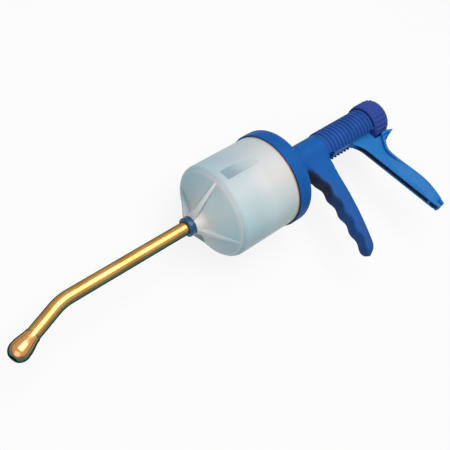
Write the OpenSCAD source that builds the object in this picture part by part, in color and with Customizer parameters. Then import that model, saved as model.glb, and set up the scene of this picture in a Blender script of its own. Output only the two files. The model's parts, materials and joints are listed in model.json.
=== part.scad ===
// Livestock drencher: a hand-filled drenching gun, shown lying on its side.
// The barrel's axis is X. The nozzle points to -X, both grips point to -Y and +Z is up.
// The origin is on that axis, at the lip where the barrel meets the handle's flange.

/* [Barrel] */
// Outside diameter of the barrel
barrel_od = 84; // [76:1:96]
// Thickness of the barrel's wall
barrel_wall = 2; // [1.6:0.1:2.6]
// Straight length of the barrel in front of the flange
barrel_len = 58; // [54:1:75]
// Outer radius of the round shoulder at the front of the barrel
shoulder_r = 7; // [5:0.5:9]
// Length of the funnel between the shoulder and the outlet boss
funnel_len = 25; // [23:1:34]
// Radius of the hollow curve where the funnel meets the outlet boss
funnel_r = 8; // [6:0.5:10]
// Outside diameter of the outlet boss
boss_od = 17; // [16.5:0.5:22]
// Length of the outlet boss in front of the funnel
boss_len = 2; // [1.5:0.5:6]
// Thickness of each radial rib on the funnel
rib_t = 2.5; // [1.5:0.1:4]
// Turn of the barrel in its flange, from +Z towards +Y
barrel_turn = 15; // [0:1:90]
// Width of the sunk sight panel
panel_w = 12; // [8:0.5:18]
// Length of the sunk sight panel
panel_len = 36; // [20:1:44]
// Depth of the sunk sight panel
panel_depth = 0.6; // [0.3:0.1:1]
// Length of the spigot that goes into the flange
spigot_len = 8; // [6:0.5:9.5]
// Height of the snap bead on the spigot
bead_h = 0.6; // [0.3:0.1:0.9]

/* [Nozzle] */
// Outside diameter of the brass tube
tube_od = 11.5; // [10:0.1:12.5]
// Wall of the brass tube
tube_wall = 1; // [0.8:0.1:1.5]
// Distance from the flange's lip to the corner of the bend
bend_at = 210; // [180:1:240]
// Angle of the bend
bend_angle = 19.5; // [5:0.5:35]
// Radius of the bend, at the middle of the tube
bend_r = 45; // [35:1:60]
// Distance from the corner of the bend to the end of the tip
tip_reach = 54; // [48:1:70]
// Greatest diameter of the tip's bulb
bulb_d = 17; // [15.5:0.5:20]
// Length of the tip
bulb_len = 22; // [20:0.5:28]
// Diameter of the hole in the tip
outlet_d = 6.6; // [4:0.1:8]
// Length of the hole in the tip
outlet_len = 9; // [6:0.5:12]
// Outside diameter of the collar at the barrel's outlet
collar_od = 17; // [16:0.5:22]
// Length of the collar
collar_len = 6; // [4:0.5:9]
// Length of the ferrule on the inner end of the tube
ferrule_len = 3; // [2:0.5:4]
// Thickness of the seal under the ferrule
nozzle_seal_t = 1.5; // [1:0.5:2.5]

/* [Handle body] */
// Height of the flange over the barrel
flange_proud = 1.7; // [1.2:0.1:3]
// Length of the flange
flange_len = 17; // [16:0.5:21]
// Radius of the flange's rear corner
flange_corner = 7; // [3:0.5:8]
// Thickness of the flange's back wall
flange_back = 6; // [5:0.5:7]
// Length of the neck behind the flange
neck_len = 52; // [48:1:58]
// Wall of the neck around the screw tube
neck_wall = 1.3; // [1.2:0.05:2.2]
// Length of the screw tube's root inside the neck
socket_len = 28; // [16:1:28]
// Thickness of the flat gasket between barrel and flange
gasket_w = 5; // [3:0.5:8]

/* [Front grip] */
// Distance from the barrel's axis to the grip's end
grip_len = 106; // [95:1:120]
// Distance from the neck's end forward to the grip's middle at its root
grip_set = 13.5; // [12:0.5:16]
// How far the grip's end sweeps forward
grip_sweep = 17; // [8:0.5:19]
// Depth of the grip below the neck, front to back
grip_depth = 25.5; // [22:0.5:28]
// Depth of the grip near its end
grip_tip_depth = 10; // [9:0.5:14]
// Extra depth where the grip flares into the neck
grip_flare = 13; // [8:0.5:15]
// Width of the grip, side to side
grip_w = 17; // [14:0.5:24]
// Width of the grip near its end
grip_tip_w = 14; // [11:0.5:18]
// Distance from one finger hollow to the next
finger_pitch = 18; // [16:0.5:21]
// Depth of the finger hollows
finger_depth = 2.8; // [1:0.1:4]
// Distance from the barrel's axis to the first finger hollow
finger_first = 35; // [32:0.5:40]

/* [Plunger] */
// Gap between the piston and the rod bush with the lever drawn back
piston_rest = 7; // [5:0.5:9]
// Diameter of the lever's carriage in the screw tube
carriage_d = 24; // [22:0.5:28]
// Length of the carriage ahead of the lever
carriage_lead = 24; // [18:1:26]
// Length of the lever's root along the slot
saddle_len = 26.5; // [23:0.5:30]
// Diameter of the piston rod
rod_d = 10; // [8:0.5:12]
// Depth of the rod's seat in the carriage
rod_seat = 30; // [24:1:36]
// Diameter of the cross pin through carriage and rod
pin_d = 4; // [3:0.5:5]
// Length of the rod bush
bush_len = 8; // [7:0.5:10]
// Outside diameter of the rod bush
bush_od = 16; // [15:0.5:19]
// Thickness of the piston's front disc
piston_front_t = 6; // [4:0.5:8]
// Width of the piston's seal
seal_w = 6; // [4:0.5:8]
// Radial thickness of the piston's seal
seal_t = 7; // [4:0.5:9]
// Thickness of the piston's back disc
piston_back_t = 12; // [8:0.5:14]
// Length of the piston's nose cone
nose_len = 10; // [8:0.5:12]
// Diameter of the nose cone at its base
nose_d = 66; // [50:1:70]
// Diameter of the nose cone at its end
nose_end_d = 28; // [20:1:34]
// Diameter of the piston screw
screw_d = 5; // [4:0.5:6]

/* [Rear lever] */
// Outside width of the lever's channel
lever_w = 7; // [6:0.5:10]
// Wall of the lever's channel
lever_wall = 1.5; // [1.2:0.1:1.8]
// Length of the lever below the screw tube
lever_len = 96.5; // [85:0.5:108]
// Distance from the front of the lever's root back to the lever's front edge
lever_set = 6.4; // [5:0.1:8]
// Distance down which the root flares into the lever
root_drop = 13; // [10:0.5:18]
// Lean of the lever away from the front grip
lever_lean = 15.3; // [8:0.1:20]
// Width of the palm plate on the lever's back
plate_w = 15; // [12:0.5:20]
// Thickness of the palm plate
plate_t = 2.5; // [1.8:0.1:3]
// Depth of the fillets between the palm plate and the lever's walls
plate_fillet = 8; // [4:0.5:9]
// Depth of the lever at its waist
lever_waist = 13.8; // [12:0.1:16]
// Depth of the lever at its palm swell
lever_swell = 14.8; // [13:0.1:18]
// Depth of the lever at its end
lever_tip = 5; // [4:0.1:8]
// Reach of the hand guard spur behind the lever's front edge
spur_reach = 40; // [34:0.5:43]
// Distance of the spur below the lever's root
spur_drop = 16; // [15.5:0.5:20]
// Length of the solid tie near the end of the channel
tie_len = 3; // [2:0.5:6]

/* [Dose stop] */
// Wall of the screw tube under its thread
screw_wall = 2.2; // [1.8:0.1:3]
// Depth of the thread
thread_depth = 1.3; // [0.8:0.1:1.5]
// Distance from one thread crest to the next
thread_pitch = 4.5; // [4:0.1:5]
// Width of the slot in the screw tube
slot_w = 19.5; // [15:0.5:20.5]
// Outside diameter of the dose nut
nut_od = 37; // [36:0.5:38]
// Length of the dose nut
nut_len = 17.5; // [15:0.5:24]
// Number of flutes round the dose nut
flutes = 24; // [16:1:30]
// Depth of the flutes
flute_depth = 1.1; // [0.5:0.1:1.2]
// Thickness of the stop washer
washer_t = 1.5; // [1:0.1:2.5]

/* [Clearances] */
// Gap between sliding parts
slide_gap = 0.3; // [0.2:0.05:0.5]
// Radial gap of seated parts
fit = 0.05; // [0.03:0.01:0.1]
// Radial gap of the nut and washer over the thread
thread_gap = 0.15; // [0.1:0.05:0.3]

/* [Hidden] */
$fn = 96;

// Colours of the pieces
body_blue = "#1f5aa0";
thread_blue = "#2c5299";
lever_blue = "#1f72b8";
nut_blue = "#2f3f8c";
milky = [0.78, 0.86, 0.88, 0.6];
brass = "#b8923f";
copper = "#a8743f";
white = "#eceae4";
steel = "#b9bcc0";
rubber = "#33302e";
gasket_red = "#8a4a38";

// Small overlap that makes cuts run through a face
over = 1;

// Barrel sizes
barrel_r = barrel_od / 2;
bore_r = barrel_r - barrel_wall;
spigot_step = 0.8;
spigot_r = barrel_r - spigot_step;
bead_x = spigot_len / 2;
bead_w = 3;
boss_r = boss_od / 2;
funnel_end = barrel_len + funnel_len;
boss_end = funnel_end + boss_len;
funnel_gap = funnel_r + shoulder_r;
funnel_rise = boss_r + funnel_r - (barrel_r - shoulder_r);
funnel_slope = asin(funnel_gap / norm([funnel_len, funnel_rise])) - atan2(funnel_rise, funnel_len);
rib_count = 4;
rib_end_r = boss_r + 0.9;
rib_sink = barrel_wall / 2;
panel_front = 2.5;

// Nozzle sizes
tube_r = tube_od / 2;
bend_run = bend_r * tan(bend_angle / 2);
bend_swell = 0.03;
seal_seat = funnel_end;
ferrule_back = seal_seat - nozzle_seal_t - ferrule_len;
ferrule_r = boss_r - barrel_wall + 0.8;
collar_edge = 1.5;
socket_depth = bulb_len - outlet_len - 6;
bulb_rim_r = tube_r + 0.5;
bulb_r = bulb_d / 2;

// Screw tube, neck and flange sizes
carriage_r = carriage_d / 2;
tube_bore_r = carriage_r + slide_gap;
root_r = tube_bore_r + screw_wall;
crest_r = root_r + thread_depth;
root_step = 1.2;
socket_r = root_r - root_step;
neck_r = socket_r + fit + neck_wall;
neck_end = flange_len + neck_len;
flange_r = barrel_r + flange_proud;
flange_face = flange_len - flange_back;
bush_head_t = 1.5;
bush_head_r = bush_od / 2 + 3;

// Piston places and the plunger's travel, with the lever drawn back against the dose stop
piston_clear = 0.5;
piston_washer_t = 1.5;
piston_tail = flange_face - bush_head_t - piston_rest - piston_washer_t;
seal_back = piston_tail - piston_back_t;
seal_front = seal_back - seal_w;
piston_face = seal_front - piston_front_t;
stroke = barrel_len + piston_face - piston_clear;

// Plunger places
slot_front = neck_end + 0.2;
saddle_front = slot_front + stroke + slide_gap;
saddle_back = saddle_front + saddle_len;
carriage_front = saddle_front - carriage_lead;
rod_r = rod_d / 2;
rod_end = carriage_front + rod_seat;
pin_x = carriage_front + rod_seat * 2 / 3;
piston_r = bore_r - 0.6;
seal_r = bore_r - 0.08;
hub_r = seal_r - seal_t;
stub_r = rod_r - 1;
stub_front = piston_face + 3;
piston_washer_r = rod_r + 4;
screw_r = screw_d / 2;
screw_head_r = screw_d;
screw_head_t = screw_d * 0.6;
screw_sink = 1;
screw_seat = piston_face - nose_len + screw_sink + screw_head_t;

// Lever's place, its hollow down from its root, and its flared root
lever_x = saddle_front + lever_set;
lever_y = -crest_r - 0.7;
channel_top = 2.5;
root_top = -crest_r + 3.4;
root_end = root_top - root_drop;
root_flare = lever_set + (lever_y - root_top) * tan(lever_lean);
root_w = lever_w - 0.4;
root_hollow = 6;
spur_root = [lever_waist + 14, spur_drop - 8.5];

// Dose stop places
washer_front = saddle_back + slide_gap;
nut_front = washer_front + washer_t + 0.1;
nut_r = nut_od / 2;
tube_end = nut_front + nut_len - 2.4;
nut_bore_r = crest_r + thread_gap;
guard_r = nut_r + 1.3;

// Points of an arc about a centre, from one angle to another
function arc(centre, r, from, to, steps = 8) =
  [for (i = [0 : steps]) let (a = from + (to - from) * i / steps) centre + r * [cos(a), sin(a)]];

// A smooth curve through points, with a number of steps between each pair
function along(p, i, t) =
  let (a = p[max(i - 1, 0)], b = p[i], c = p[i + 1], d = p[min(i + 2, len(p) - 1)])
  0.5 * (2 * b + (c - a) * t + (2 * a - 5 * b + 4 * c - d) * t * t + (3 * b - a - 3 * c + d) * t * t * t);
function smooth(p, steps = 5) =
  concat([for (i = [0 : len(p) - 2], k = [0 : steps - 1]) along(p, i, k / steps)], [p[len(p) - 1]]);

// A curve moved sideways by a distance, to the left of its direction
function aside(p, distance) =
  [for (i = [0 : len(p) - 1])
    let (d = p[min(i + 1, len(p) - 1)] - p[max(i - 1, 0)])
    p[i] + distance * [-d.y, d.x] / norm(d)];

// A round solid about the barrel's axis, from points of radius and X
module turned(points) {
  rotate([0, 90, 0]) rotate_extrude() polygon(points);
}

// A plain rod along X
module rod(r, from, to) {
  translate([from, 0, 0]) rotate([0, 90, 0]) cylinder(r = r, h = to - from);
}

// A plate in the XY plane, centred on Z
module plate(points, width) {
  translate([0, 0, -width / 2]) linear_extrude(width) polygon(points);
}

// A closed skin over rings of points, with a flat cap at each end
module loft(rings) {
  count = len(rings[0]);
  last = len(rings) - 1;
  points = [for (ring = rings, p = ring) p];
  sides = [for (i = [0 : last - 1], k = [0 : count - 1])
    let (a = i * count + k, b = i * count + (k + 1) % count)
    each [[a, a + count, b], [b, a + count, b + count]]];
  start = [for (k = [0 : count - 1]) k];
  end = [for (k = [count - 1 : -1 : 0]) last * count + k];
  polyhedron(points, concat(sides, [start, end]));
}

// Outline of the barrel's front, as radius and X, moved inwards by a depth
function barrel_outline(depth) = concat(
  [for (p = arc([0, 0], shoulder_r - depth, 90, 90 - funnel_slope))
    [barrel_r - shoulder_r + p.y, -barrel_len - p.x]],
  [for (p = arc([0, 0], funnel_r + depth, 90 - funnel_slope, 90))
    [boss_r + funnel_r - p.y, -funnel_end + p.x]]);

// Milky barrel with its funnel front, ribs, outlet boss and sight panel
module barrel() {
  foot = barrel_outline(rib_sink);
  rib = concat([[-barrel_len - shoulder_r * sin(funnel_slope), barrel_r - shoulder_r * (1 - cos(funnel_slope))],
                [-boss_end, rib_end_r], [-boss_end, boss_r - rib_sink]],
               [for (i = [len(foot) - 1 : -1 : 0]) [foot[i].y, foot[i].x]]);
  color(milky) difference() {
    union() {
      turned(concat([[0, spigot_len], [spigot_r, spigot_len], [spigot_r, 0], [barrel_r, 0]],
                    barrel_outline(0), [[boss_r, -boss_end], [0, -boss_end]]));
      turned([[spigot_r - over, bead_x - bead_w / 2], [spigot_r, bead_x - bead_w / 2],
              [spigot_r + bead_h, bead_x], [spigot_r, bead_x + bead_w / 2],
              [spigot_r - over, bead_x + bead_w / 2]]);
      for (k = [0 : rib_count - 1])
        rotate([90 - barrel_turn + k * 360 / rib_count, 0, 0]) plate(rib, rib_t);
    }
    turned(concat([[0, spigot_len + over], [bore_r, spigot_len + over]],
                  barrel_outline(barrel_wall), [[0, -funnel_end]]));
    rod(ferrule_r + fit, -seal_seat, -ferrule_back + over);
    rod(tube_r + fit, -boss_end - over, -funnel_end + over);
    rotate([-barrel_turn, 0, 0])
      translate([-barrel_len + panel_front, -panel_w / 2, barrel_r - panel_depth])
      cube([panel_len, panel_w, barrel_r]);
  }
}

// Flat gasket between the barrel's spigot and the flange
module barrel_gasket() {
  color(gasket_red) difference() {
    rod(spigot_r - fit, spigot_len, flange_face);
    rod(spigot_r - gasket_w, spigot_len - over, flange_face + over);
  }
}

// Blue collar that clamps the nozzle to the outlet boss
module outlet_collar() {
  collar_r = collar_od / 2;
  collar_front = -boss_end - collar_len;
  edge = arc([collar_r - collar_edge, collar_front + collar_edge], collar_edge, 0, -90);
  color(nut_blue) difference() {
    turned(concat([[0, -boss_end], [collar_r, -boss_end]], edge, [[0, collar_front]]));
    rod(tube_r + fit, collar_front - over, -boss_end + over);
  }
}

// Seal under the nozzle's ferrule
module nozzle_seal() {
  color(rubber) difference() {
    rod(ferrule_r, -seal_seat, -seal_seat + nozzle_seal_t);
    rod(tube_r + fit, -seal_seat - over, -seal_seat + nozzle_seal_t + over);
  }
}

// Ferrule on the inner end of the nozzle tube
module nozzle_ferrule() {
  color(brass) difference() {
    rod(ferrule_r, -ferrule_back - ferrule_len, -ferrule_back);
    rod(tube_r + fit, -ferrule_back - ferrule_len - over, -ferrule_back + over);
  }
}

// Places what follows at the corner of the bend, with -X along the bent end
module at_bend() {
  translate([-bend_at, 0, 0]) rotate([0, 0, bend_angle]) children();
}

// The nozzle's straight, curved and straight stretch at one radius, a hair fuller in the bend
module bent_rod(r, from, to) {
  rod(r, -bend_at + bend_run, -from);
  translate([-bend_at + bend_run, -bend_r, 0]) rotate([0, 0, 90])
    rotate_extrude(angle = bend_angle) translate([bend_r, 0]) circle(r + bend_swell);
  at_bend() rod(r, -to, -bend_run);
}

// Bent brass tube
module nozzle_tube() {
  color(brass) difference() {
    bent_rod(tube_r, ferrule_back, tip_reach - bulb_len + socket_depth);
    bent_rod(tube_r - tube_wall, ferrule_back - over, tip_reach - bulb_len + socket_depth + over);
  }
}

// Bulb on the end of the tube, with its outlet hole
module nozzle_tip() {
  ball = tip_reach - bulb_r * 0.86;
  rim = tip_reach - bulb_len;
  rise = asin((bulb_r - bulb_rim_r) / (ball - rim));
  round_end = [for (p = arc([0, 0], bulb_r, 90 + rise, 30)) [p.y, -ball - p.x]];
  color(copper) at_bend() difference() {
    turned(concat([[0, -rim], [bulb_rim_r, -rim]], round_end, [[0, -tip_reach]]));
    rod(tube_r + fit, -rim - socket_depth, -rim + over);
    rod(tube_r - tube_wall, -tip_reach + outlet_len, -rim);
    rod(outlet_d / 2, -tip_reach - over, -rim);
  }
}

// Where the front grip's end begins to round off, its root stops flaring and its fillets start and end, as shares
// of its length, and the fillets' width at the neck
grip_dome = 0.91;
flare_end = 0.22;
join_start = -neck_r * 0.4 / (grip_len - neck_r * 0.75);
join_end = 0.25;
join_w = neck_r * 1.86;

// Power that squares the grip's section: 1 is an ellipse
grip_square = 0.5;

// Half depth, half width and middle of the front grip at a share of its length
function grip_y(s) = -neck_r * 0.75 - s * (grip_len - neck_r * 0.75);
function grip_round(s) = s < grip_dome ? 1 : sqrt(max(1 - pow((s - grip_dome) / (1 - grip_dome), 2), 0.02));
function grip_fade(s) = s < flare_end ? pow(1 - s / flare_end, 2) : 0;
function grip_half(s) =
  (grip_depth + (grip_tip_depth - grip_depth) * s + grip_flare * grip_fade(s)) / 2 * grip_round(s);
function grip_join(s) = s < join_end ? pow((join_end - s) / (join_end - join_start), 2) : 0;
function grip_side(s) =
  (grip_w + (grip_tip_w - grip_w) * s * s) / 2 * grip_round(s) + (join_w - grip_w) / 2 * grip_join(s);
function grip_mid(s) = neck_end - grip_set - grip_sweep * s * s;
function finger(s) =
  let (n = (-grip_y(s) - finger_first) / finger_pitch)
  n < -0.5 || n > 3.5 ? 0 : finger_depth * (0.5 + 0.5 * cos(360 * n)) * grip_round(s);

function squared(v) = sign(v) * pow(abs(v), grip_square);

// Front grip with finger hollows on its front face
module front_grip() {
  rows = 36;
  around = 24;
  loft([for (i = [0 : rows])
    let (s = join_start + (1 - join_start) * i / rows, a = grip_half(s), b = grip_side(s), m = grip_mid(s), rear = min(a, neck_end - fit - m))
    [for (k = [0 : around - 1])
      let (q = 360 * k / around, c = squared(cos(q)))
      [m + (c < 0 ? c * (a - finger(s)) : c * rear), grip_y(s), b * squared(sin(q))]]]);
}

// Moulded body: flange, neck and front grip in one piece
module handle_body() {
  corner = arc([flange_r - flange_corner, flange_len - flange_corner], flange_corner, 0, 90);
  color(body_blue) difference() {
    union() {
      turned(concat([[0, 0], [flange_r, 0]], corner, [[neck_r, flange_len], [neck_r, neck_end], [0, neck_end]]));
      front_grip();
    }
    rod(spigot_r + fit, -over, flange_face);
    turned([[spigot_r - over, bead_x - bead_w / 2 - fit], [spigot_r + fit, bead_x - bead_w / 2 - fit],
            [spigot_r + bead_h + 2 * fit, bead_x], [spigot_r + fit, bead_x + bead_w / 2 + fit],
            [spigot_r - over, bead_x + bead_w / 2 + fit]]);
    rod(bush_od / 2 + fit, flange_face - over, flange_face + bush_len + over);
    rod(tube_bore_r, flange_face + bush_len, neck_end);
    rod(socket_r + fit, neck_end - socket_len, neck_end + over);
  }
}

// Slotted screw tube: the lever's carriage runs inside, the dose nut on its thread
module screw_tube() {
  start = neck_end - socket_len;
  ribs = floor((tube_end - neck_end - 1) / thread_pitch) - 1;
  flank = thread_pitch * 0.24;
  thread = [for (i = [0 : ribs])
    let (x = neck_end + 0.6 + i * thread_pitch)
    each [[root_r, x], [crest_r, x + flank], [crest_r, x + 2 * flank], [root_r, x + 3 * flank]]];
  color(thread_blue) difference() {
    turned(concat([[tube_bore_r, start], [socket_r, start], [socket_r, neck_end], [root_r, neck_end]],
                  thread, [[root_r, tube_end], [tube_bore_r, tube_end]]));
    translate([slot_front, -crest_r - over, -slot_w / 2])
      cube([tube_end - slot_front + over, crest_r + over, slot_w]);
  }
}

// Bush that guides the rod through the flange
module rod_bush() {
  color(white) difference() {
    union() {
      rod(bush_od / 2, flange_face, flange_face + bush_len);
      rod(bush_head_r, flange_face - bush_head_t, flange_face);
    }
    rod(rod_r + fit, flange_face - bush_head_t - over, flange_face + bush_len + over);
  }
}

// Back edge of the rear lever, from the spur's point to the lever's end, square to its front edge
back_edge = smooth([[spur_reach, spur_drop], [lever_waist + 12, spur_drop + 0.8],
                    [lever_waist + 4, spur_drop + 4.5], [lever_waist, spur_drop + 15],
                    [lever_swell, lever_len * 0.66], [lever_swell - 3, lever_len * 0.83],
                    [lever_tip, lever_len]]);

// Places what follows in the lever's own frame: X behind its front edge, Y down its length
module on_lever() {
  translate([lever_x, lever_y, 0]) rotate([0, 0, lever_lean]) mirror([0, 1, 0]) children();
}

// Front-open channel in the lever, between two distances down its length
module channel(from, to) {
  floor_edge = [for (p = aside(back_edge, plate_t + lever_wall))
    if (p.x < lever_waist + 2 && p.y > from && p.y < to) p];
  ramp = from < spur_drop ? [floor_edge[0].x, spur_drop - 4] : [floor_edge[0].x, from];
  plate(concat([[-lever_wall * 3, from], [lever_wall, from], ramp], floor_edge,
               [[floor_edge[len(floor_edge) - 1].x, to], [-lever_wall * 3, to]]), lever_w - 2 * lever_wall);
}

// Front edge of the lever's flared root, from the slot down into the lever's front edge, at a share of its drop
function root_edge(share) =
  let (y = root_top - share * root_drop)
  [lever_x + (lever_y - y) * tan(lever_lean) - root_flare * pow(1 - share, 1.6), y];

// Fillets between the palm plate and the lever's walls, which grow down the lever
module plate_fillets() {
  start = spur_drop + 6;
  growth = 22;
  rim = aside(back_edge, plate_t - lever_wall / 2);
  loft([for (i = [0 : len(rim) - 1]) if (rim[i].y > start && rim[i].y < lever_len - 3)
    let (grown = min(1, (rim[i].y - start) / growth), foot = max(rim[i].x - plate_fillet * grown, lever_wall),
         wide = lever_w / 2 + (plate_w - lever_w) / 2 * grown)
    [[foot, rim[i].y, lever_w / 2], [rim[i].x, rim[i].y, wide],
     [rim[i].x, rim[i].y, -wide], [foot, rim[i].y, -lever_w / 2]]]);
}

// Rear lever: carriage, flared root and hollow lever with its palm plate and spur
module rear_lever() {
  inner_edge = aside(back_edge, plate_t);
  web_edge = [for (i = [len(inner_edge) - 1 : -1 : 0]) if (inner_edge[i].x < lever_waist + 10) inner_edge[i]];
  plate_edge = [for (i = [len(inner_edge) - 1 : -1 : 0]) if (inner_edge[i].x < lever_waist + 3) inner_edge[i]];
  root_top_y = -carriage_r / 2;
  front = [for (i = [0 : 10]) root_edge(i / 10)];
  mouth = [for (i = [2 : 10]) root_edge(i / 10)];
  stem = concat([[saddle_back, root_top_y], [saddle_front, root_top_y]], front,
                [[saddle_back, root_end]]);
  hollow = concat([for (p = mouth) p - [over * 3, 0]],
                  [for (i = [len(mouth) - 1 : -1 : 0]) mouth[i] + [root_hollow, 0]]);
  tie = lever_len * 0.86;
  color(lever_blue) difference() {
    union() {
      rod(carriage_r, carriage_front, saddle_back);
      plate(stem, root_w);
      difference() {
        union() {
          on_lever() plate(concat([[0, 1], [0, lever_len - 2], [2, lever_len]], web_edge, [spur_root]), lever_w);
          on_lever() plate(concat(back_edge, plate_edge, [spur_root]), plate_w);
          on_lever() plate_fillets();
        }
        rod(guard_r, saddle_back, saddle_back + spur_reach * 2);
      }
    }
    plate(hollow, lever_w - 2 * lever_wall - 0.2);
    on_lever() channel(channel_top, tie);
    on_lever() channel(tie + tie_len, lever_len - 3);
    rod(rod_r + fit, carriage_front - over, rod_end);
    translate([pin_x, 0, -carriage_r - over]) cylinder(d = pin_d + 2 * fit, h = carriage_d + 2 * over);
  }
}

// Steel piston rod with a stub for the piston and a cross hole for the pin
module piston_rod() {
  color(steel) difference() {
    union() {
      rod(rod_r, piston_tail + piston_washer_t, rod_end);
      rod(stub_r, stub_front, piston_tail + piston_washer_t + over);
    }
    rod(screw_r + fit, stub_front - over, piston_tail);
    translate([pin_x, 0, -rod_d]) cylinder(d = pin_d + 2 * fit, h = 2 * rod_d);
  }
}

// Cross pin through carriage and rod
module rod_pin() {
  pin_half = carriage_r - 1;
  color(steel) translate([pin_x, 0, -pin_half]) cylinder(d = pin_d, h = 2 * pin_half);
}

// Front disc of the piston, with its nose cone and the hub that carries the seal
module piston_front() {
  nose_face = piston_face - nose_len;
  color(white) difference() {
    turned([[0, nose_face], [nose_end_d / 2, nose_face], [nose_d / 2, piston_face], [piston_r, piston_face],
            [piston_r, seal_front], [hub_r - fit, seal_front], [hub_r - fit, seal_back], [0, seal_back]]);
    rod(stub_r + fit, stub_front, seal_back + over);
    rod(screw_r + fit, nose_face - over, stub_front + over);
    rod(screw_head_r + fit, nose_face - over, screw_seat);
  }
}

// Rubber ring that seals the piston in the barrel
module piston_seal() {
  color(rubber) difference() {
    rod(seal_r, seal_front, seal_back);
    rod(hub_r, seal_front - over, seal_back + over);
  }
}

// Back disc that clamps the seal
module piston_back() {
  color(white) difference() {
    rod(piston_r, seal_back, piston_tail);
    rod(stub_r + fit, seal_back - over, piston_tail + over);
  }
}

// Washer between the back disc and the rod's shoulder
module piston_washer() {
  color(steel) difference() {
    rod(piston_washer_r, piston_tail, piston_tail + piston_washer_t);
    rod(stub_r + fit, piston_tail - over, piston_tail + piston_washer_t + over);
  }
}

// Screw that holds the piston on the rod
module piston_screw() {
  color(steel) difference() {
    union() {
      rod(screw_head_r, screw_seat - screw_head_t, screw_seat);
      rod(screw_r, screw_seat - over, stub_front + screw_d * 2);
    }
    translate([screw_seat - screw_head_t - over, 0, 0]) rotate([0, 90, 0])
      cylinder(d = screw_d, h = screw_head_t * 0.6 + over, $fn = 6);
  }
}

// Stop washer, keyed in the slot, that the lever rests against
module stop_washer() {
  key_half = slot_w / 2 - slide_gap;
  key_foot = nut_bore_r + 0.8;
  key_top = tube_bore_r * 0.55;
  color(nut_blue) union() {
    difference() {
      rod(nut_r - 0.8, washer_front, washer_front + washer_t);
      rod(nut_bore_r, washer_front - over, washer_front + washer_t + over);
    }
    translate([washer_front, -key_foot, -key_half])
      cube([washer_t, key_foot - key_top, 2 * key_half]);
  }
}

// Fluted nut that sets the dose
module dose_nut() {
  edge = 1.2;
  flute_r = 1.5;
  nut_back = nut_front + nut_len;
  color(nut_blue) difference() {
    turned([[nut_bore_r, nut_front], [nut_r - edge, nut_front], [nut_r, nut_front + edge],
            [nut_r, nut_back - edge], [nut_r - edge, nut_back], [nut_bore_r, nut_back]]);
    for (k = [0 : flutes - 1])
      rotate([(k + 0.5) * 360 / flutes, 0, 0])
        translate([0, 0, nut_r + flute_r - flute_depth]) rod(flute_r, nut_front - over, nut_back + over);
  }
}

handle_body();
screw_tube();
barrel();
barrel_gasket();
rod_bush();
outlet_collar();
nozzle_seal();
nozzle_ferrule();
nozzle_tube();
nozzle_tip();
rear_lever();
piston_rod();
rod_pin();
piston_front();
piston_seal();
piston_back();
piston_washer();
piston_screw();
stop_washer();
dose_nut();
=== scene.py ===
# %% [markdown]
# # A livestock drencher
# This lesson dresses the solids of a hand drenching gun: a milky barrel with a funnel front, a bent
# brass nozzle, a blue moulded handle, a sliding lever and a fluted dose nut. The solids come in as a
# fixed frame. Each visible piece is then modelled over its solid, in the same place, and rides on the
# same body, so the gun still works.

# %% The frame
import json
import math

import bpy
from mathutils import Matrix, Vector

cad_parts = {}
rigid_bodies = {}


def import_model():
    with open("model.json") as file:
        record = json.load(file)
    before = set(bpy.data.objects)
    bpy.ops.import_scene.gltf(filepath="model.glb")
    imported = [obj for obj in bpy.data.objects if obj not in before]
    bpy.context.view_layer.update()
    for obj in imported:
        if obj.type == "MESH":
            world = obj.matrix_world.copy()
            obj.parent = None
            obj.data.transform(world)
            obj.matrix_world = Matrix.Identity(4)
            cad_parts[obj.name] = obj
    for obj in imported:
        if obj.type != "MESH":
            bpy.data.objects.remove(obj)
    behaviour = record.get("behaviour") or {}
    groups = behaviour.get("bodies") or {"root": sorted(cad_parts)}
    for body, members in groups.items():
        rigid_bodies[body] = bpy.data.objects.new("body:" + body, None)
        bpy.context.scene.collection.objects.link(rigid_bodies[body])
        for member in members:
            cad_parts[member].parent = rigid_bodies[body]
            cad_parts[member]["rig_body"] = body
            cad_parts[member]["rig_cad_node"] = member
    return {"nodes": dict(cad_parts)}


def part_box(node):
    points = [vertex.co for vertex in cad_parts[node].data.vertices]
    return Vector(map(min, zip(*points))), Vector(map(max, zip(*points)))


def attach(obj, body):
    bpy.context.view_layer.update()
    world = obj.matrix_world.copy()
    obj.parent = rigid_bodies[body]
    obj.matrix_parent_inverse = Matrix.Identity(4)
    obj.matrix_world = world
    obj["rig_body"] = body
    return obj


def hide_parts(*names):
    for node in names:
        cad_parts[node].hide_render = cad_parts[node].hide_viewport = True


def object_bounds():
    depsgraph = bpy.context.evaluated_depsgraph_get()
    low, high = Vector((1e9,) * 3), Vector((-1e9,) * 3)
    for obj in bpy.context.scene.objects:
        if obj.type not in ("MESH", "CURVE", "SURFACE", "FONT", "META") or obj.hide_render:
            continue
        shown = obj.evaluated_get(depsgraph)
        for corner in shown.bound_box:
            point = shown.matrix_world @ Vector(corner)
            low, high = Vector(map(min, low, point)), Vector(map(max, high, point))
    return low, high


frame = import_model()
cad_low, cad_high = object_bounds()
MM = 0.001
print("nodes:", len(frame["nodes"]), "size in mm:", [round(side / MM, 1) for side in cad_high - cad_low])

# %% [markdown]
# ## Tools for the bench
# Operators act on whatever is selected, so each tool first selects only its own piece. A line is drawn
# by extruding one vertex from point to point, a turned piece is that line spun round an axis, and a
# finished piece has its place in its mesh, a material and a body to ride on, and the solid it stands
# for is hidden.

# %% Selecting, drawing and spinning
MERGE = 0.005 * MM
ARC_STEPS = 10


def select_only(*objects):
    bpy.ops.object.select_all(action="DESELECT")
    for item in objects:
        item.select_set(True)
    bpy.context.view_layer.objects.active = objects[0]


def edit_all(piece):
    select_only(piece)
    bpy.ops.object.mode_set(mode="EDIT")
    bpy.ops.mesh.select_mode(type="VERT")
    bpy.ops.mesh.select_all(action="SELECT")


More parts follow.
